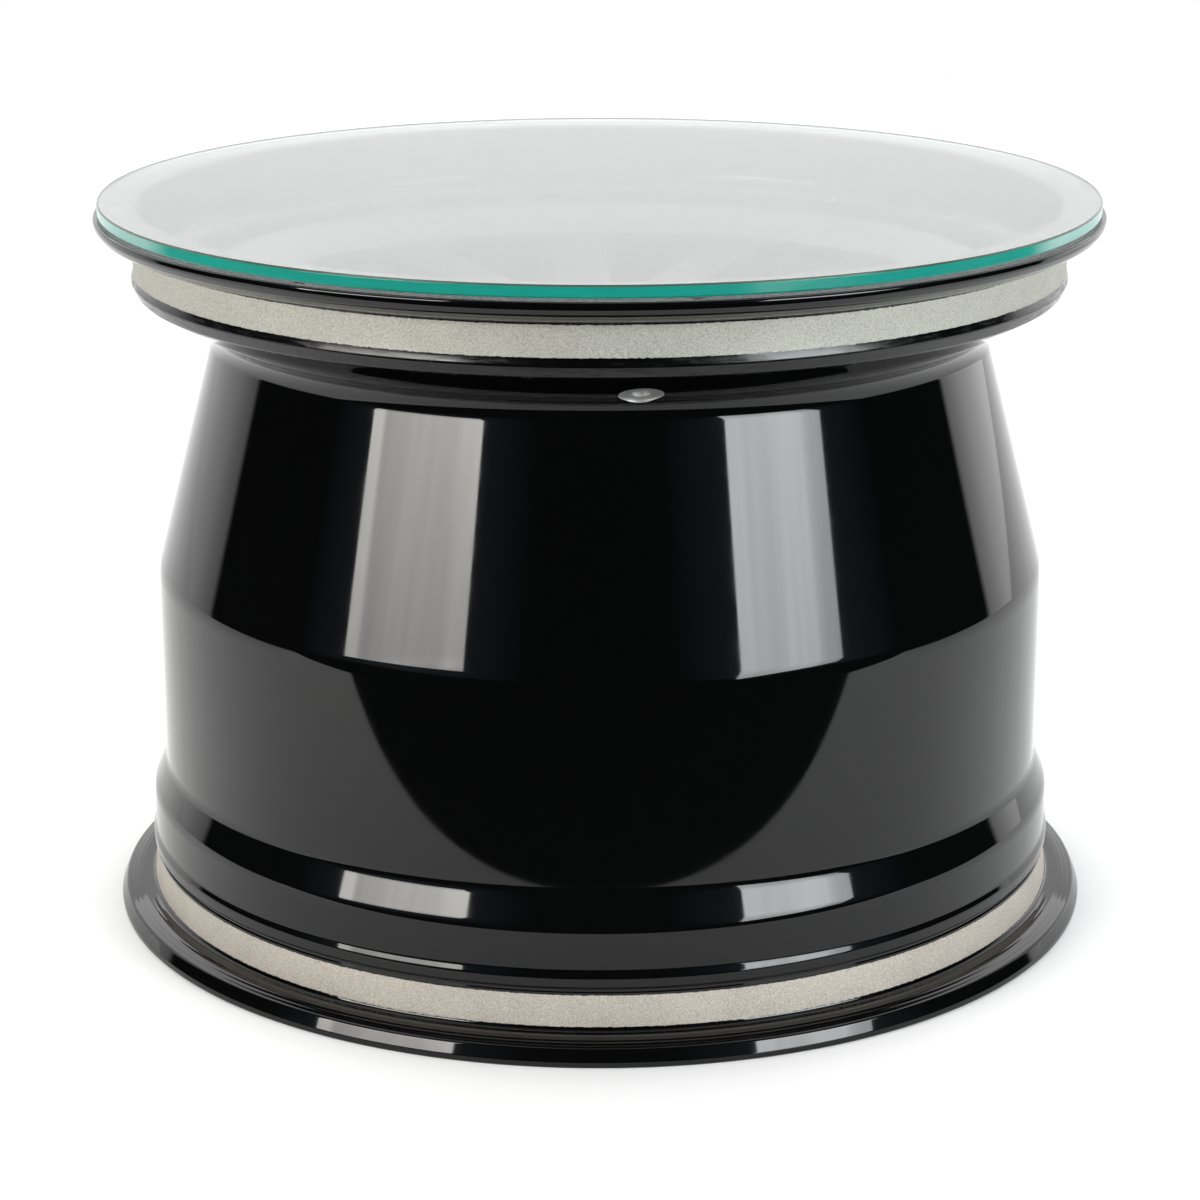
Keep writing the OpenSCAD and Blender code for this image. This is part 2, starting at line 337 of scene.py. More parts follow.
def cut_from(piece, cutter):
    """Cuts one mesh out of another, lines the cut with the cutter's material and removes the cutter"""
    select_only(piece)
    modifier = piece.modifiers.new("cut", "BOOLEAN")
    modifier.operation = "DIFFERENCE"
    modifier.solver = "EXACT"
    modifier.material_mode = "TRANSFER"
    modifier.object = cutter
    bpy.ops.object.modifier_apply(modifier=modifier.name)
    bpy.data.objects.remove(cutter)


def place(piece, matrix):
    """Moves a mesh and leaves its object at the origin"""
    select_only(piece)
    piece.matrix_world = matrix
    bpy.ops.object.transform_apply(location=True, rotation=True, scale=True)


def finish_piece(piece, body, node_name, smooth_angle=math.radians(32)):
    """Shades a finished piece, ties it to its body and hides the node that it stands for"""
    select_only(piece)
    bpy.ops.object.shade_smooth_by_angle(angle=smooth_angle)
    # Long straight faces keep their own normals, so that reflections run straight up to a rounding
    modifier = piece.modifiers.new("even_shading", "WEIGHTED_NORMAL")
    modifier.keep_sharp = True
    bpy.ops.object.modifier_apply(modifier=modifier.name)
    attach(piece, body)
    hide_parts(node_name)


# Node helpers

def fill(tree, made, **inputs):
    """Sets inputs of a node, or links them to another node's output

    An input goes by its name, with underscores for spaces, or by its number, as in _0.
    """
    for key, value in inputs.items():
        socket = made.inputs[int(key[1:])] if key[0] == "_" else made.inputs[key.replace("_", " ")]
        if isinstance(value, bpy.types.NodeSocket):
            tree.links.new(value, socket)
        else:
            socket.default_value = value


def node(tree, kind, **inputs):
    """A new node with its inputs filled"""
    made = tree.nodes.new(kind)
    fill(tree, made, **inputs)
    return made


def new_material(name, kind="ShaderNodeBsdfPrincipled"):
    """A material that holds only a shader and the output that it runs to"""
    material = bpy.data.materials.new(name)
    material.use_nodes = True
    tree = material.node_tree
    tree.nodes.clear()
    shader = tree.nodes.new(kind)
    node(tree, "ShaderNodeOutputMaterial", Surface=shader.outputs[0])
    return material, tree, shader


def math_node(tree, operation, first, second=0.0, clamp=False):
    """The output of a Math node"""
    made = node(tree, "ShaderNodeMath", _0=first, _1=second)
    made.operation = operation
    made.use_clamp = clamp
    return made.outputs[0]


def product(tree, *values):
    """The product of several values"""
    return reduce(lambda first, second: math_node(tree, "MULTIPLY", first, second), values)


def total(tree, *values):
    """The sum of several values"""
    return reduce(lambda first, second: math_node(tree, "ADD", first, second), values)


def ramp(tree, value, low, high, start=0.0, end=1.0):
    """Maps a value from low..high to start..end, clamped"""
    return node(
        tree, "ShaderNodeMapRange",
        Value=value, From_Min=low, From_Max=high, To_Min=start, To_Max=end,
    ).outputs["Result"]


def noise(tree, vector, scale, detail=2.0, roughness=0.5):
    """The value of a noise of so many cells to a metre"""
    return node(
        tree, "ShaderNodeTexNoise", Vector=vector, Scale=scale, Detail=detail, Roughness=roughness,
    ).outputs["Fac"]


def vary(tree, pattern, start, end, spread=0.2):
    """Goes from start to end while a noise goes from a half less spread to a half and spread"""
    return ramp(tree, pattern, 0.5 - spread, 0.5 + spread, start, end)


def blend_colour(tree, factor, first, second):
    """Blends two colours, each a value or another node's output"""
    made = tree.nodes.new("ShaderNodeMix")
    made.data_type = "RGBA"
    first, second = (
        value if isinstance(value, bpy.types.NodeSocket) else (*value, 1.0) for value in (first, second)
    )
    fill(tree, made, _0=factor, _6=first, _7=second)
    return made.outputs[2]


def mottled(tree, pattern, tint, start, end, spread=0.2):
    """A tint whose strength goes from start to end with a noise"""
    weak, strong = ([share * part for part in tint] for share in (start, end))
    return blend_colour(tree, vary(tree, pattern, 0.0, 1.0, spread), weak, strong)


def stretched(tree, vector, scale):
    """Coordinates scaled along each axis"""
    return node(tree, "ShaderNodeMapping", Vector=vector, Scale=scale).outputs["Vector"]


def object_vector(tree):
    """The piece's own coordinates"""
    return tree.nodes.new("ShaderNodeTexCoord").outputs["Object"]


def height_and_radius(tree, vector):
    """Height above the floor and distance from the axis"""
    x, y, z = node(tree, "ShaderNodeSeparateXYZ", Vector=vector).outputs
    return z, math_node(tree, "SQRT", total(tree, product(tree, x, x), product(tree, y, y)))


def band(tree, value, low, high, edge):
    """1 while a value is between low and high, with edges that are as soft as edge"""
    above = ramp(tree, value, low - edge, low + edge)
    below = ramp(tree, value, high - edge, high + edge, 1.0, 0.0)
    return product(tree, above, below)


def bump(tree, height, distance):
    """A bump from a height of 0 to 1 and its depth in metres"""
    return node(tree, "ShaderNodeBump", Height=height, Distance=distance, Strength=1.0).outputs["Normal"]


# Finishes

def bare_seats(tree, vector, height, radius):
    """1 on the blasted bead seats and 0 on the paint, which ends in ragged, chipped lines"""
    s = sizes()
    wobble, chip_depth, soft = 1.1 * MM, 1.6 * MM, 0.12 * MM
    fine = noise(tree, vector, 520.0, 3.0, 0.6)
    ragged = product(tree, math_node(tree, "SUBTRACT", fine, 0.5), wobble)
    around = stretched(tree, vector, (1.0, 1.0, 0.0))
    chips = ramp(tree, noise(tree, around, 95.0), 0.70, 0.80, 0.0, chip_depth)
    paint_line = total(tree, height, ragged, chips)
    upper = band(tree, paint_line, s.upper_bare_low, s.upper_bare_high, soft)
    lower = band(tree, paint_line, s.lower_bare_low, s.lower_bare_high, soft)
    skin = 0.8 * s.seat_wall
    outside = math_node(tree, "GREATER_THAN", radius, bead_radius(s) - skin)
    return product(tree, math_node(tree, "ADD", upper, lower, True), outside)


def seat_colour(tree, vector, height, grain):
    """Grainy, faintly clouded aluminium, warmer on the lower bead seat"""
    s = sizes()
    upper = ramp(tree, height, s.lower_bare_high, s.upper_bare_low)
    seat = blend_colour(tree, upper, colours().lower_bare, colours().upper_bare)
    cloud = noise(tree, vector, 42.0, 3.0, 0.6)
    shade = total(tree, vary(tree, grain, 0.70, 1.26), vary(tree, cloud, -0.05, 0.05))
    metal = tree.nodes.new("ShaderNodeVectorMath")
    metal.operation = "SCALE"
    fill(tree, metal, _0=seat, Scale=shade)
    return metal.outputs["Vector"]


def paint_roughness(tree, vector, height):
    """Roughness of the gloss paint, which is scuffed on the upper hump"""
    s = sizes()
    gloss = vary(tree, noise(tree, vector, 60.0, 4.0, 0.6), 0.035, 0.06)
    hump = band(tree, height, s.upper_bare_low - s.upper_hump_width, s.upper_bare_low, MM)
    streaks = noise(tree, stretched(tree, vector, (1.0, 1.0, 6.0)), 90.0, 3.0, 0.6)
    return total(tree, gloss, product(tree, hump, vary(tree, streaks, 0.06, 0.26, 0.15)))


def barrel_relief(tree, vector, radius, grain, bare):
    """Height of the paint with its faint orange peel, the blasted pits and the flange's turning marks"""
    s = sizes()
    peel = product(tree, noise(tree, vector, 260.0), 0.005)
    pits = product(tree, grain, bare)
    film = math_node(tree, "SUBTRACT", 1.0, bare)
    turning_pitch = 2.3 * MM
    turns = math_node(tree, "SINE", product(tree, radius, 2 * math.pi / turning_pitch))
    on_face = band(tree, radius, FLANGE_R - s.lip_run - 6 * MM, FLANGE_R - s.lip_lean - MM, MM)
    return total(tree, peel, pits, film, product(tree, turns, on_face, 0.35))


def barrel_finish():
    """Gloss black paint that stops in ragged lines at the blasted bead seats"""
    material, tree, shader = new_material("painted_barrel")
    vector = object_vector(tree)
    height, radius = height_and_radius(tree, vector)
    bare = bare_seats(tree, vector, height, radius)
    grain = noise(tree, vector, 1400.0, 3.0, 0.6)
    roughness = node(tree, "ShaderNodeMix", _0=bare, _2=paint_roughness(tree, vector, height), _3=0.7)
    fill(
        tree, shader,
        Base_Color=blend_colour(tree, bare, colours().paint, seat_colour(tree, vector, height, grain)),
        Metallic=product(tree, bare, 0.5), Roughness=roughness.outputs[0], IOR=1.4,
        Normal=bump(tree, barrel_relief(tree, vector, radius, grain, bare), 0.08 * MM),
    )
    return material


def spot_finish():
    """Milled bare aluminium of the spot face and the valve hole"""
    material, tree, shader = new_material("milled_spot_face")
    marks = noise(tree, object_vector(tree), 900.0)
    fill(
        tree, shader, Base_Color=mottled(tree, marks, colours().spot, 0.86, 1.0, 0.15), Metallic=0.8,
        Roughness=vary(tree, marks, 0.42, 0.56), Normal=bump(tree, marks, 0.03 * MM),
    )
    return material


def centre_finish():
    """Satin black paint with a faint texture on the spoked centre, its colour lifted by a painted sheen"""
    material, tree, shader = new_material("painted_centre")
    vector = object_vector(tree)
    cloud = noise(tree, vector, 35.0, 4.0, 0.6)
    # The centre's colour carries a painted sheen besides the paint's own tone
    fill(
        tree, shader, Base_Color=mottled(tree, cloud, colours().centre, 1.0, 1.5, 0.15),
        Roughness=vary(tree, cloud, 0.16, 0.26), Normal=bump(tree, noise(tree, vector, 700.0), 0.02 * MM),
    )
    return material


def steel_finish(name):
    """Turned steel with fine rings that follow the lathe"""
    material, tree, shader = new_material(name)
    vector = object_vector(tree)
    height, radius = height_and_radius(tree, vector)
    rings = node(tree, "ShaderNodeCombineXYZ", X=radius, Y=height, Z=0.0).outputs["Vector"]
    lines = noise(tree, rings, 2600.0)
    cloud = noise(tree, vector, 55.0, 3.0, 0.6)
    fill(
        tree, shader, Base_Color=mottled(tree, lines, colours().steel, 0.75, 1.0), Metallic=1.0,
        Roughness=vary(tree, cloud, 0.22, 0.38), Normal=bump(tree, lines, 0.02 * MM),
    )
    return material


def glass_finish():
    """Clear glass with a faint green tint that varies a little"""
    material, tree, shader = new_material("clear_glass")
    cloud = noise(tree, object_vector(tree), 9.0, 3.0)
    fill(
        tree, shader, Base_Color=mottled(tree, cloud, colours().glass, 1.0, 0.99),
        Transmission_Weight=1.0, IOR=GLASS_IOR, Roughness=0.0,
    )
    return material


def glass_edge_finish():
    """Ground edge of the glass, where the green of its depth shows, lit by a faint painted glow and with a
    painted paler reflection where it turns away
    """
    material, tree, shader = new_material("glass_edge")
    vector = object_vector(tree)
    height, _radius = height_and_radius(tree, vector)
    cloud = noise(tree, stretched(tree, vector, (1.0, 1.0, 6.0)), 60.0, 3.0)
    green = mottled(tree, cloud, colours().glass_edge, 1.0, 0.88)
    grazing = tree.nodes.new("ShaderNodeLayerWeight").outputs["Facing"]
    # Painted reflection: where the edge turns away from the view its colour is made paler, as if it mirrored
    # the white backdrop
    pale = blend_colour(tree, ramp(tree, grazing, 0.50, 0.58), green, colours().glass_edge_sheen)
    corner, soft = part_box("glass_top")[1].z - GLASS_ARRIS, 0.1 * MM
    tint = blend_colour(tree, ramp(tree, height, corner - soft, corner + soft), pale, colours().glass_arris)
    # Painted glow: the edge gives off a faint light of its own colour, though it is no lamp
    fill(
        tree, shader, Base_Color=tint, Emission_Color=tint, Emission_Strength=0.2, IOR=GLASS_IOR,
        Roughness=vary(tree, cloud, 0.12, 0.2),
    )
    # Light that comes from within the glass passes through the edge
    within = tree.nodes.new("ShaderNodeNewGeometry").outputs["Backfacing"]
    pale_green = (0.62, 0.86, 0.84, 1.0)
    through = node(tree, "ShaderNodeBsdfRefraction", IOR=GLASS_IOR, Roughness=0.3, Color=pale_green)
    either = node(tree, "ShaderNodeMixShader", _0=within, _1=shader.outputs[0], _2=through.outputs[0])
    fill(tree, tree.nodes["Material Output"], Surface=either.outputs[0])
    return material


def silicone_finish():
    """Clear, slightly cloudy silicone"""
    material, tree, shader = new_material("clear_silicone")
    cloud = noise(tree, object_vector(tree), 600.0)
    fill(
        tree, shader, Base_Color=mottled(tree, cloud, colours().silicone, 1.0, 0.93),
        Transmission_Weight=0.97, IOR=1.41, Roughness=vary(tree, cloud, 0.05, 0.14),
    )
    return material


# Barrel

def bead_radius(s):
    """Radius of the bead seats where they meet the flanges"""
    return FLANGE_R - s.flange_height


def well_edge(s):
    """Radius and height of the drop centre's upper edge"""
    return bead_radius(s) - s.well_drop, RIM_TOP - s.flange_thickness - s.upper_seat - s.upper_hump_width


def neck_corner(s):
    """Radius and height of the sharp corner under the drop centre's rounding"""
    well_r, well_z = well_edge(s)
    neck_r = bead_radius(s) - s.well_depth
    return neck_r, well_z - (well_r - neck_r) * math.tan(s.well_slope)


def well_inside(s, radius):
    """Height at which the drop centre's inner side crosses a radius"""
    neck_r, neck_z = neck_corner(s)
    return neck_z + (radius - neck_r) * math.tan(s.well_slope) + s.well_wall / math.cos(s.well_slope)


def land(s):
    """Radius and top of the land inside the barrel that carries the centre, and the taper's slope"""
    neck_r, neck_z = neck_corner(s)
    body_r = bead_radius(s) - s.body_drop
    taper = math.atan((body_r - neck_r) / (neck_z - s.knee))
    half = (math.pi / 2 - taper + s.well_slope) / 2
    aim = (s.well_slope + taper - math.pi / 2) / 2
    waist_r = neck_r + NECK_ROUND * (math.cos(aim) / math.sin(half) - 1)
    land_r = waist_r - s.wall
    return land_r, well_inside(s, land_r), taper


def tyre_side(s):
    """Corners of the tyre side from the floor up, as radius, height and rounding"""
    bead_r = bead_radius(s)
    face_z = RIM_TOP - s.flange_thickness
    lean = math.tan(s.seat_lean)
    lower_z = s.flange_thickness + s.lower_seat
    lower_r = bead_r - s.lower_seat * lean
    upper_r = bead_r - s.upper_seat * lean
    crest_r = lower_r + s.lower_hump
    crest_z = lower_z + s.groove_width + s.groove_flank
    shoulder_r = bead_r - s.shoulder_drop
    body_r = bead_r - s.body_drop
    well_r, well_z = well_edge(s)
    neck_r, neck_z = neck_corner(s)
    # Roundings
    edge, lip, ridge, upper_ridge = 1.5 * MM, 3 * MM, 2 * MM, 4.5 * MM
    back, root, crest, well = 14 * MM, 2.5 * MM, 2 * MM, 2.6 * MM
    shoulder, knee, hump = 12 * MM, 30 * MM, 4 * MM
    return [
        (FLANGE_R, 0, edge),
        (FLANGE_R, s.lip_thickness, lip),
        (FLANGE_R - s.lip_lean, s.lip_height, ridge),
        (FLANGE_R - s.lip_run, s.flange_thickness, back),
        (bead_r, s.flange_thickness, root),
        (lower_r, lower_z, 0),
        (lower_r - s.groove_depth, lower_z, 0),
        (lower_r - s.groove_depth, lower_z + s.groove_width, 0),
        (crest_r, crest_z, edge),
        (crest_r, crest_z + s.crest_width, hump),
        (shoulder_r, crest_z + s.crest_width + s.hump_flank, hump),
        (shoulder_r, s.shoulder_top, shoulder),
        (body_r, s.body_bottom, shoulder),
        (body_r, s.knee, knee),
        (neck_r, neck_z, NECK_ROUND),
        (well_r, well_z, well),
        (upper_r + s.upper_hump, well_z + s.upper_hump_width / 2, crest),
        (upper_r, face_z - s.upper_seat, 0),
        (bead_r, face_z, root),
        (FLANGE_R - s.lip_run, face_z, back),
        (FLANGE_R - s.upper_lip_lean, RIM_TOP - s.upper_lip_height, upper_ridge),
        (FLANGE_R, RIM_TOP - s.lip_thickness, lip),
        (FLANGE_R, RIM_TOP, edge),
    ]


def open_side(s, spoke_depth):
    """Corners of the open side from the top down, as radius, height and rounding"""
    mouth_r = bead_radius(s) - s.seat_wall
    land_r, land_top, taper = land(s)
    body_in = bead_radius(s) - s.body_drop - s.wall
    shoulder_step = MM
    # Roundings
    mouth, bend, foot, knee = 2.5 * MM, 12 * MM, 3 * MM, 30 * MM
    land_bottom = land_top - spoke_depth - foot
    slope = math.tan(taper)
    relief_z = (land_r + land_bottom - body_in - s.knee * slope) / (1 - slope)
    return [
        (mouth_r, RIM_TOP, mouth),
        (mouth_r, well_inside(s, mouth_r), bend),
        (land_r, land_top, 0),
        (land_r, land_bottom, foot),
        (land_r + land_bottom - relief_z, relief_z, bend),
        (body_in, s.knee, knee),
        (body_in, s.body_bottom, bend),
        (mouth_r - shoulder_step, s.shoulder_top, bend),
        (mouth_r, 0, mouth),
    ]


def valve_cutter(s):
    """A stepped cutter for the valve hole and its spot face, in place"""
    hole_r = VALVE["dims"]["r_mm"] * MM
    reach = 12 * MM
    cutter = turned("valve_cutter", [
        (0, -reach, 0),
        (hole_r, -reach, 0),
        (hole_r, -s.spot_depth, 0),
        (s.spot_diameter / 2, -s.spot_depth, 0),
        (s.spot_diameter / 2, reach, 0),
        (0, reach, 0),
    ], PIN_STEPS, closed=False)
    cutter.data.materials.append(spot_finish())
    outward = Vector((
        math.cos(VALVE_BEARING) * math.sin(s.well_slope),
        math.sin(VALVE_BEARING) * math.sin(s.well_slope),
        -math.cos(s.well_slope),
    ))
    turn = outward.to_track_quat("Z", "Y").to_matrix().to_4x4()
    place(cutter, Matrix.Translation(valve_surface(s, outward)) @ turn)
    return cutter


def valve_surface(s, outward):
    """The point where the valve's axis leaves the side of the drop centre"""
    position = Vector(VALVE["pos_m"])
    neck_r, neck_z = neck_corner(s)
    bearing = Vector((math.cos(VALVE_BEARING), math.sin(VALVE_BEARING), 0))
    on_side = bearing * neck_r + Vector((0, 0, neck_z))
    travel = (on_side - position).dot(outward)
    return position + outward * travel


def build_barrel():
    """The barrel with its bead seats, drop centre, humps, flanges and valve hole"""
    s = sizes()
    corners = tyre_side(s) + open_side(s, centre_sizes().spoke_depth)
    barrel = turned("barrel", corners, s.steps)
    barrel.data.materials.append(barrel_finish())
    cut_from(barrel, valve_cutter(s))
    finish_piece(barrel, "wheel", "rim_barrel")


# Spoked centre

def on_outline(outline, centre, bearing):
    """The point where a line from centre along a bearing meets a closed outline"""
    direction = Vector((math.cos(bearing), math.sin(bearing)))
    across = Vector((-direction.y, direction.x))
    for here, there in zip(outline, outline[1:] + outline[:1]):
        first, last = here - centre, there - centre
        side_a, side_b = first.dot(across), last.dot(across)
        if side_a * side_b <= 0 and side_a != side_b:
            share = side_a / (side_a - side_b)
            reach = first.lerp(last, share).dot(direction)
            if reach > 0:
                return centre + direction * reach
    raise RuntimeError("the line misses the outline")


def arc(middle, radius, start, end, steps):
    """Points along an arc"""
    return [
        middle + radius * Vector((math.cos(turn), math.sin(turn)))
        for turn in (start + (end - start) * step / steps for step in range(steps + 1))
    ]


def window_outline(c, hub_r, land_r):
    """Outline of the window on the +X side, with round corners"""
    pitch = math.pi / c.spokes
    half_spoke = c.spoke_width / 2

    def half_width(x):
        return x * math.tan(pitch) - half_spoke / math.cos(pitch)

    tip_x = max(hub_r + c.window_gap, (c.window_tip + half_spoke) / math.sin(pitch) - c.window_tip)
    end_x = land_r - c.rim_band
    tip_middle = Vector((tip_x + c.window_tip, 0))
    corner = half_width(end_x)
    outer = c.window_round
    lean = math.pi / 2 - pitch
    reach = outer / math.tan(lean / 2)
    outer_middle = Vector((end_x - outer, corner - reach))
    upper = arc(outer_middle, outer, 0, math.pi / 2 + pitch, steps=10)
    inner = arc(tip_middle, c.window_tip, math.pi / 2 + pitch, math.pi * 3 / 2 - pitch, steps=16)
    lower = [Vector((point.x, -point.y)) for point in reversed(upper)]
    return upper + inner + lower


def sector_outline(hub_r, land_r, pitch):
    """Outline of one spoke pitch, between the hub and the barrel"""
    origin = Vector((0, 0))
    return arc(origin, land_r, -pitch, pitch, steps=24) + arc(origin, hub_r, pitch, -pitch, steps=12)


def sector_points(c, hub_r, land_r):
    """Matching points round the outside and round the window of one spoke pitch"""
    pitch = math.pi / c.spokes
    inside = hub_r - OVERLAP
    outside = sector_outline(inside, land_r, pitch)
    hole = window_outline(c, hub_r, land_r)
    # Both outlines are seen from one point, this far outside the middle of the window
    eye_shift = 12 * MM
    eye = Vector(((hub_r + land_r) / 2 + eye_shift, 0))
    bearings = [2 * math.pi * (k + 0.5) / SECTOR_POINTS for k in range(SECTOR_POINTS)]
    outer = [on_outline(outside, eye, bearing) for bearing in bearings]
    window = [on_outline(hole, eye, bearing) for bearing in bearings]
    for radius, turn in ((land_r, pitch), (inside, pitch), (inside, -pitch), (land_r, -pitch)):
        corner = Vector((radius * math.cos(turn), radius * math.sin(turn)))
        nearest = min(range(SECTOR_POINTS), key=lambda k: (outer[k] - corner).length)
        outer[nearest] = corner
    return outer, window


def draw_sector(outer, window):
    """A flat ring of faces from the outer points to the window, drawn by extruding a circle inwards"""
    select_only()
    count = len(outer)
    bpy.ops.mesh.primitive_circle_add(vertices=count, radius=1, location=(0, 0, 0))
    sector = bpy.context.object
    bpy.ops.object.mode_set(mode="EDIT")
    mesh = bmesh.from_edit_mesh(sector.data)
    circle = sorted(mesh.verts, key=lambda vert: math.atan2(vert.co.y, vert.co.x) % (2 * math.pi))
    for vert, point in zip(circle, outer):
        vert.co = (*point, 0)
    bmesh.update_edit_mesh(sector.data)
    bpy.ops.mesh.select_all(action="SELECT")
    before = outer
    for ring in range(1, SECTOR_RINGS + 1):
        after = [far.lerp(near, ring / SECTOR_RINGS) for far, near in zip(outer, window)]
        bpy.ops.mesh.extrude_region_move(TRANSFORM_OT_translate={"value": (0, 0, 0)})
        mesh = bmesh.from_edit_mesh(sector.data)
        for vert in [vert for vert in mesh.verts if vert.select]:
            here = vert.co.xy
            nearest = min(range(count), key=lambda k: (before[k] - here).length_squared)
            vert.co = (*after[nearest], 0)
        bmesh.update_edit_mesh(sector.data)
        before = after
    return sector


def open_joints(sector, pitch):
    """Deletes the walls on the spokes' middle lines, where the next sector joins"""
    mesh = bmesh.from_edit_mesh(sector.data)
    walls = [
        face for face in mesh.faces
        if all(abs(abs(math.atan2(vert.co.y, vert.co.x)) - pitch) < SAME_BEARING for vert in face.verts)
    ]
    bmesh.ops.delete(mesh, geom=walls, context="FACES_ONLY")
    bmesh.update_edit_mesh(sector.data)


def round_window(sector, window, rounding):
    """Bevels the window's front and back edges"""
    def spot(point):
        return round(point.x, 7), round(point.y, 7)

    rim = {spot(point) for point in window}
    select_points(sector, lambda co: spot(co) in rim)
    mesh = bmesh.from_edit_mesh(sector.data)
    for edge in mesh.edges:
        start, end = (vert.co for vert in edge.verts)
        edge.select_set(abs(start.z - end.z) < WELD and spot(start) in rim and spot(end) in rim)
    bmesh.update_edit_mesh(sector.data)
    bpy.ops.mesh.bevel(offset=rounding, segments=4, affect="EDGES", profile=0.5)


def spoke_sector(c, hub_r, land_r, front, back):
    """One window with half a spoke on each side of it, centred on the +X side"""
    outer, window = sector_points(c, hub_r, land_r)
    sector = draw_sector(outer, window)
    bpy.ops.mesh.select_all(action="SELECT")
    bpy.ops.mesh.extrude_region_move(TRANSFORM_OT_translate={"value": (0, 0, c.spoke_depth)})
    bpy.ops.mesh.select_all(action="SELECT")
    bpy.ops.mesh.normals_make_consistent(inside=False)
    open_joints(sector, math.pi / c.spokes)
    round_window(sector, window, c.edge_round)

    # The flat slab takes the dished front and back of the spokes
    mesh = bmesh.from_edit_mesh(sector.data)
    for vert in mesh.verts:
        radius = math.hypot(vert.co.x, vert.co.y)
        share = vert.co.z / c.spoke_depth
        vert.co.z = back(radius) + (front(radius) - back(radius)) * share
    bmesh.update_edit_mesh(sector.data)
    return sector


def build_hub(c, base, face):
    """The hub with its pockets for the seat ring and the bushes"""
    hub_r = c.hub_diameter / 2
    ring_low, ring_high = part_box("nut_seat_ring")
    bevel, foot = 1.2 * MM, 2.5 * MM
    hub = turned("hub", [
        (BORE_R, base, bevel),
        (hub_r, base, bevel),
        (hub_r, face, foot),
        (ring_high.x, face, 0),
        (ring_high.x, ring_low.z, 0),
        (BORE_R, ring_low.z, 0),
    ], HUB_STEPS)
    for node_name in numbered("drive_bush"):
        outer, height, position = round_box(node_name)
        pocket = turned("pocket", [
            (0, -STAND_OUT, 0), (outer, -STAND_OUT, 0), (outer, height, 0), (0, height, 0),
        ], PIN_STEPS, closed=False)
        place(pocket, position)
        cut_from(hub, pocket)
    return hub


def build_centre():
    """The centre with its spokes, hub and pockets for the steel inserts"""
    c = centre_sizes()
    land_r, land_top, _taper = land(sizes())
    hub_r = c.hub_diameter / 2
    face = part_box("nut_seat_ring")[1].z - c.ring_proud
    base = face - c.hub_height
    rise = math.tan(c.dish_slope)
    root = base + c.hub_boss
    spoke_back = land_top - c.spoke_depth

    def front(radius):
        return face + (radius - hub_r) * rise

    def back(radius):
        return root + (radius - hub_r) * (spoke_back - root) / (land_r - hub_r)

    centre = spoke_sector(c, hub_r, land_r, front, back)
    centre.name = "spoked_centre"
    pitch = 2 * math.pi / c.spokes
    place(centre, Matrix.Rotation(VALVE_BEARING + pitch / 2, 4, "Z"))
    bpy.ops.object.mode_set(mode="EDIT")
    bpy.ops.mesh.select_all(action="SELECT")
    for _copy in range(c.spokes - 1):
        bpy.ops.mesh.duplicate()
        bpy.ops.transform.rotate(value=pitch, orient_axis="Z", center_override=(0, 0, 0))
    bpy.ops.mesh.select_all(action="SELECT")
    # Points that two sectors share differ a little by rounding
    bpy.ops.mesh.remove_doubles(threshold=NEAR / 2)
    bpy.ops.mesh.normals_make_consistent(inside=False)
    bpy.ops.object.mode_set(mode="OBJECT")

    hub = build_hub(c, base, face)
    select_only(hub, centre)
    bpy.ops.object.join()
    centre.data.materials.clear()
    centre.data.materials.append(centre_finish())
    finish_piece(centre, "wheel", "wheel_centre")


# Steel inserts

def build_seat_ring():
    """The steel ring that the wheel nut pulls against"""
    c = centre_sizes()
    low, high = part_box("nut_seat_ring")
    inner = BORE_R + c.ring_land
    soft = 0.6 * MM
    ring = turned("seat_ring", [
        (inner, low.z, soft),
        (high.x, low.z, soft),
        (high.x, high.z, MM),
        (high.x - c.ring_land, high.z, soft),
        (inner, low.z + c.ring_inner, soft),
    ], HUB_STEPS)
    ring.data.materials.append(steel_finish("turned_seat_ring"))
    finish_piece(ring, "wheel", "nut_seat_ring")


def build_bushes():
    """The hardened bushes for the drive pins"""
    bore = MOUNTS["drive_pins"]["dims"]["hole_r_mm"] * MM
    soft = 0.5 * MM
    finish = steel_finish("turned_bush")
    for number, node_name in enumerate(numbered("drive_bush"), 1):
        outer, height, position = round_box(node_name)
        bush = turned(f"pin_bush_{number}", [
            (bore, 0, soft), (outer, 0, soft), (outer, height, soft), (bore, height, soft),
        ], PIN_STEPS)
        place(bush, position)
        bush.data.materials.append(finish)
        finish_piece(bush, "wheel", node_name)


# Glass and bumpers

def build_glass():
    """The round glass top with its ground edge"""
    low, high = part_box("glass_top")
    outer = high.x
    soft = 0.3 * MM
    glass = turned("glass_disc", [
        (0, low.z, 0),
        (outer / 2, low.z, 0),
        (outer - GLASS_ARRIS, low.z, 0),
        (outer, low.z + GLASS_ARRIS, soft),
        (outer, high.z - GLASS_ARRIS, soft),
        (outer - GLASS_ARRIS, high.z, 0),
        (outer / 2, high.z, 0),
        (0, high.z, 0),
    ], GLASS_STEPS, closed=False)
    glass.data.materials.append(glass_finish())
    glass.data.materials.append(glass_edge_finish())
    for face in glass.data.polygons:
        outside = math.hypot(face.center.x, face.center.y) > outer - GLASS_ARRIS
        level = abs(face.normal.z) > 0.9
        if outside and not level:
            face.material_index = 1
    finish_piece(glass, "glass_plate", "glass_top", smooth_angle=math.radians(20))
    glass.visible_shadow = False


def build_bumpers():
    """The clear bumpers between the flange and the glass"""
    finish = silicone_finish()
    for number, node_name in enumerate(numbered("bumper"), 1):
        outer, height, position = round_box(node_name)
        bumper = turned(f"clear_bumper_{number}", [
            (0, 0, 0), (outer, 0, 0.15 * MM), (outer, height, 0.4 * MM), (0, height, 0),
        ], BUMPER_STEPS, closed=False)
        place(bumper, position)
        bumper.data.materials.append(finish)
        finish_piece(bumper, "wheel", node_name)
        bumper.visible_shadow = False


# Stage

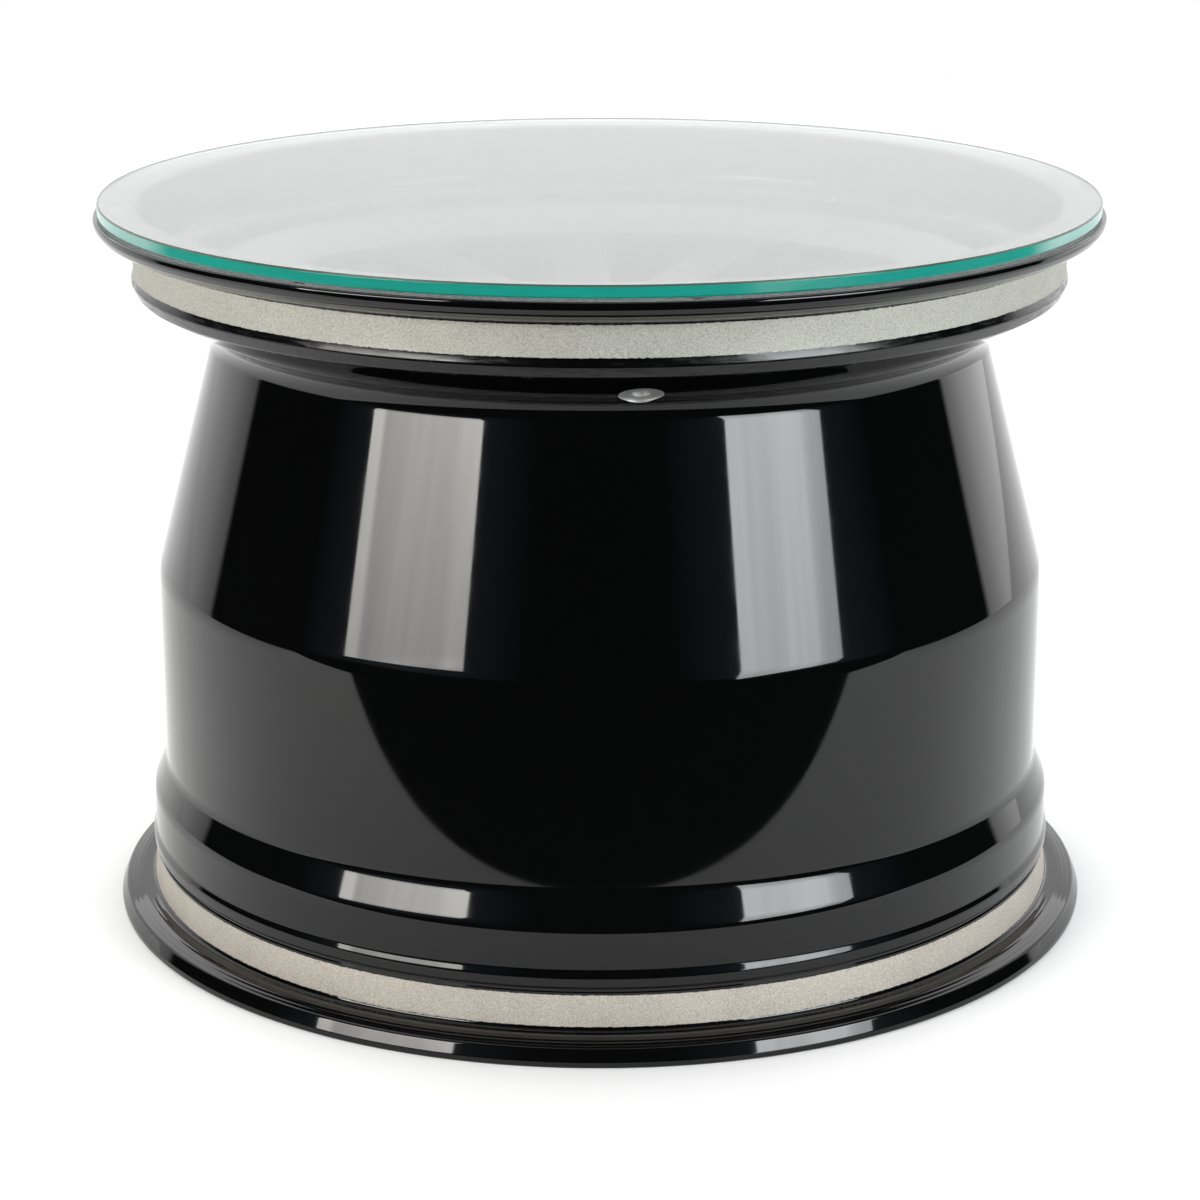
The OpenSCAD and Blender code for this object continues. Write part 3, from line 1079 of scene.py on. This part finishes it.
def floor_finish(stage):
    """Plain pale floor with a soft shade where the table stands"""
    material, tree, shader = new_material("pale_floor")
    _height, radius = height_and_radius(tree, object_vector(tree))
    shade = ramp(tree, radius, FLANGE_R, FLANGE_R + 24 * MM, 0.9, 1.0)
    fill(
        tree, shader, Base_Color=blend_colour(tree, shade, (0, 0, 0), stage.floor), Roughness=0.75,
        Specular_IOR_Level=0.2, Emission_Color=(1, 1, 1, 1),
        Emission_Strength=product(tree, shade, stage.floor_glow),
    )
    return material


def cloth_glow(tree, across, up, stops, rise):
    """Glow of a softbox's cloth from [place across, brightness] stops, with faint folds and a bright hem

    It grows from the foot up, to rise times the stops at two thirds of the height.
    """
    glow = node(tree, "ShaderNodeFloatCurve", Value=across)
    curve = glow.mapping.curves[0]
    # A curve holds values up to 1, so the stops go in at half their brightness
    for point, (x, value) in zip(curve.points, (stops[0], stops[-1])):
        point.location = (x, value / 2)
    for x, value in stops[1:-1]:
        curve.points.new(x, value / 2)
    for point in curve.points:
        point.handle_type = "VECTOR"
    glow.mapping.update()
    # The folds lean a little, and a narrow hem along the foot is the brightest
    wander = product(tree, up, 0.15)
    folds = node(tree, "ShaderNodeCombineXYZ", X=total(tree, across, wander), Y=wander, Z=0.0)
    folded = vary(tree, noise(tree, folds.outputs["Vector"], 13.0, 1.0, 0.4), 1.9, 2.1)
    hem = ramp(tree, up, 0.008, 0.02, 1.5, 1.0)
    foot = 0.93 if rise > 1 else 1.0
    climb = ramp(tree, up, 0.0, 0.65, foot, rise)
    return product(tree, glow.outputs["Value"], folded, hem, climb)


def light_panel(name, centre, corners, brightness, tint=(1, 1, 1), across=None, rise=1.0):
    """A soft light that faces the table and isn't seen by the camera

    Its corners are given across and up from its centre, and across gives the glow of its cloth.
    """
    select_only()
    bpy.ops.mesh.primitive_plane_add(size=1, location=(0, 0, 0))
    panel = bpy.context.object
    panel.name = name
    for point, corner in zip(panel.data.vertices, corners):
        point.co = (*corner, 0)
    aim = (Vector((0, 0, AIM_HEIGHT)) - Vector(centre)).to_track_quat("Z", "Y").to_matrix().to_4x4()
    place(panel, Matrix.Translation(centre) @ aim)
    material, tree, shader = new_material(name, "ShaderNodeEmission")
    strength = brightness
    if across:
        cloth = tree.nodes.new("ShaderNodeTexCoord").outputs["UV"]
        x, y, _z = node(tree, "ShaderNodeSeparateXYZ", Vector=cloth).outputs
        strength = product(tree, cloth_glow(tree, x, y, across, rise), brightness)
    fill(tree, shader, Color=(*tint, 1.0), Strength=strength)
    panel.data.materials.append(material)
    panel.visible_camera = False


def studio_world(stage):
    """White behind the table, dark in front of it, and plain white to the camera"""
    world = bpy.data.worlds.new("studio")
    bpy.context.scene.world = world
    world.use_nodes = True
    tree = world.node_tree
    tree.nodes.clear()
    view = tree.nodes.new("ShaderNodeTexCoord").outputs["Generated"]
    x, y, z = node(tree, "ShaderNodeSeparateXYZ", Vector=view).outputs
    # The backdrop ends at an upright plane on each side and a little below the horizon
    inward = math_node(tree, "SUBTRACT", y, product(tree, math_node(tree, "ABSOLUTE", x), 0.466))
    lit = product(tree, ramp(tree, inward, -0.02, 0.02), ramp(tree, z, -0.42, -0.4))
    glow = ramp(tree, lit, 0.0, 1.0, stage.surround, stage.backdrop)
    # It fades towards its sides, and low down on the right it is brighter
    fade = ramp(tree, inward, 0.0, 0.2, 0.64, 1.0)
    low = ramp(tree, z, 0.05, 0.3, 1.0, 0.0)
    right = product(tree, ramp(tree, x, 0.3, 0.65, 0.0, 0.65), low)
    glow = product(tree, glow, fade, total(tree, right, 1.0))
    seen = tree.nodes.new("ShaderNodeLightPath").outputs["Is Camera Ray"]
    strength = node(tree, "ShaderNodeMix", _0=seen, _2=glow, _3=1.0).outputs[0]
    background = node(tree, "ShaderNodeBackground", Strength=strength, Color=(1, 1, 1, 1))
    node(tree, "ShaderNodeOutputWorld", Surface=background.outputs["Background"])


def build_camera(stage):
    """The camera, which looks along +Y and a little down"""
    camera = bpy.data.objects.new("camera", bpy.data.cameras.new("camera"))
    bpy.context.scene.collection.objects.link(camera)
    camera.data.sensor_width = 36
    camera.data.lens = stage.camera_lens
    camera.data.clip_start = 0.01
    position = Matrix.Translation((stage.camera_side, -stage.camera_distance, stage.camera_height))
    pitch = Matrix.Rotation(math.pi / 2 - stage.camera_pitch, 4, "X")
    camera.matrix_world = position @ pitch @ Matrix.Rotation(stage.camera_roll, 4, "Z")
    bpy.context.scene.camera = camera


def build_floor(stage):
    """The plain pale floor, which runs further to the back than to the front"""
    select_only()
    bpy.ops.mesh.primitive_plane_add(size=1, location=(0, 0, 0))
    floor = bpy.context.object
    floor.name = "floor"
    front, back, side = -0.412, 3.2, 1.7
    middle = Matrix.Translation((0, (front + back) / 2, 0))
    place(floor, middle @ Matrix.Diagonal((2 * side, back - front, 1, 1)))
    floor.data.materials.append(floor_finish(stage))


def build_lights(stage):
    """The overhead light, a softbox on each side and the dim cloth beside each"""
    light_panel(
        "overhead_light", (0, 1.25, 2.4), [(-2, -2.1), (2, -2.1), (-2, 2.1), (2, 2.1)], stage.overhead,
    )
    light_panel(
        "left_softbox", (-1.2, -1.12, 0.62), [(-0.46, -0.18), (0.46, -0.29), (-0.46, 0.33), (0.53, 0.33)],
        stage.left_softbox, tint=(1.0, 0.98, 0.945), rise=1.85,
        across=[(0, 1.18), (0.15, 1.14), (0.21, 1.0), (0.55, 1.0), (0.86, 0.78), (0.90, 1.2), (1, 1.25)],
    )
    light_panel(
        "right_softbox", (1.2, -1.12, 0.62), [(-0.30, -0.40), (0.50, -0.56), (-0.53, 0.24), (0.35, 0.24)],
        stage.right_softbox, tint=(0.96, 0.985, 1.0), rise=1.5,
        across=[
            (0, 0.78), (0.12, 0.86), (0.19, 0.98), (0.23, 1.2),
            (0.5, 1.22), (0.58, 1.06), (0.8, 1.08), (1, 1.12),
        ],
    )
    halo = 0.033
    for side, brightness in ((-1, stage.left_softbox), (1, stage.right_softbox)):
        light_panel(
            "cloth_beside_softbox", (side * 1.25, -1.17, 0.63), [(-1, -0.5), (1, -0.5), (-1, 0.7), (1, 0.7)],
            brightness * halo, tint=(0.78, 0.95, 1.15), across=[(0, 0), (0.5, 1), (1, 0)],
        )


def build_stage():
    """The camera, the floor, the lights and the surroundings"""
    stage = bpy.context.scene.rim_stage
    bpy.context.scene.view_settings.view_transform = "Standard"
    build_camera(stage)
    build_floor(stage)
    build_lights(stage)
    studio_world(stage)


# Operators

class RIM_OT_build_barrel(bpy.types.Operator):
    """Model the painted barrel of the wheel rim"""

    bl_idname = "rim_table.build_barrel"
    bl_label = "Build Barrel"

    def execute(self, context):
        build_barrel()
        return {"FINISHED"}


class RIM_OT_build_centre(bpy.types.Operator):
    """Model the spoked centre and its hub"""

    bl_idname = "rim_table.build_centre"
    bl_label = "Build Spoked Centre"

    def execute(self, context):
        build_centre()
        return {"FINISHED"}


class RIM_OT_build_inserts(bpy.types.Operator):
    """Model the steel seat ring and the drive pins' bushes"""

    bl_idname = "rim_table.build_inserts"
    bl_label = "Build Steel Inserts"

    def execute(self, context):
        build_seat_ring()
        build_bushes()
        return {"FINISHED"}


class RIM_OT_build_bumpers(bpy.types.Operator):
    """Model the clear bumpers on the flange"""

    bl_idname = "rim_table.build_bumpers"
    bl_label = "Build Bumpers"

    def execute(self, context):
        build_bumpers()
        return {"FINISHED"}


class RIM_OT_build_glass(bpy.types.Operator):
    """Model the round glass top"""

    bl_idname = "rim_table.build_glass"
    bl_label = "Build Glass Top"

    def execute(self, context):
        build_glass()
        return {"FINISHED"}


class RIM_OT_build_stage(bpy.types.Operator):
    """Set up the camera, the pale floor and the soft lights"""

    bl_idname = "rim_table.build_stage"
    bl_label = "Build Stage"

    def execute(self, context):
        build_stage()
        return {"FINISHED"}


class RIM_PT_table(bpy.types.Panel):
    """Lists the steps that build the table"""

    bl_idname = "RIM_PT_table"
    bl_label = "Wheel Rim Table"
    bl_space_type = "VIEW_3D"
    bl_region_type = "UI"
    bl_category = "Rim Table"

    def draw(self, context):
        for step in STEPS:
            self.layout.operator(step.bl_idname)
        for group in GROUPS:
            box = self.layout.box()
            values = getattr(context.scene, group)
            for name in values.__annotations__:
                box.prop(values, name)


GROUPS = {
    "rim_sizes": RimSizes,
    "rim_centre_sizes": CentreSizes,
    "rim_colours": PaintColours,
    "rim_stage": StageSettings,
}
STEPS = (
    RIM_OT_build_stage,
    RIM_OT_build_barrel,
    RIM_OT_build_centre,
    RIM_OT_build_inserts,
    RIM_OT_build_bumpers,
    RIM_OT_build_glass,
)


def register():
    for group in GROUPS.values():
        bpy.utils.register_class(group)
    for name, group in GROUPS.items():
        setattr(bpy.types.Scene, name, PointerProperty(type=group))
    for step in STEPS:
        bpy.utils.register_class(step)
    bpy.utils.register_class(RIM_PT_table)


def unregister():
    bpy.utils.unregister_class(RIM_PT_table)
    for step in reversed(STEPS):
        bpy.utils.unregister_class(step)
    for name in GROUPS:
        delattr(bpy.types.Scene, name)
    for group in reversed(list(GROUPS.values())):
        bpy.utils.unregister_class(group)


def main():
    register()
    bpy.ops.rim_table.build_stage()
    bpy.ops.rim_table.build_barrel()
    bpy.ops.rim_table.build_centre()
    bpy.ops.rim_table.build_inserts()
    bpy.ops.rim_table.build_bumpers()
    bpy.ops.rim_table.build_glass()
    select_only()


if __name__ == "__main__":
    main()
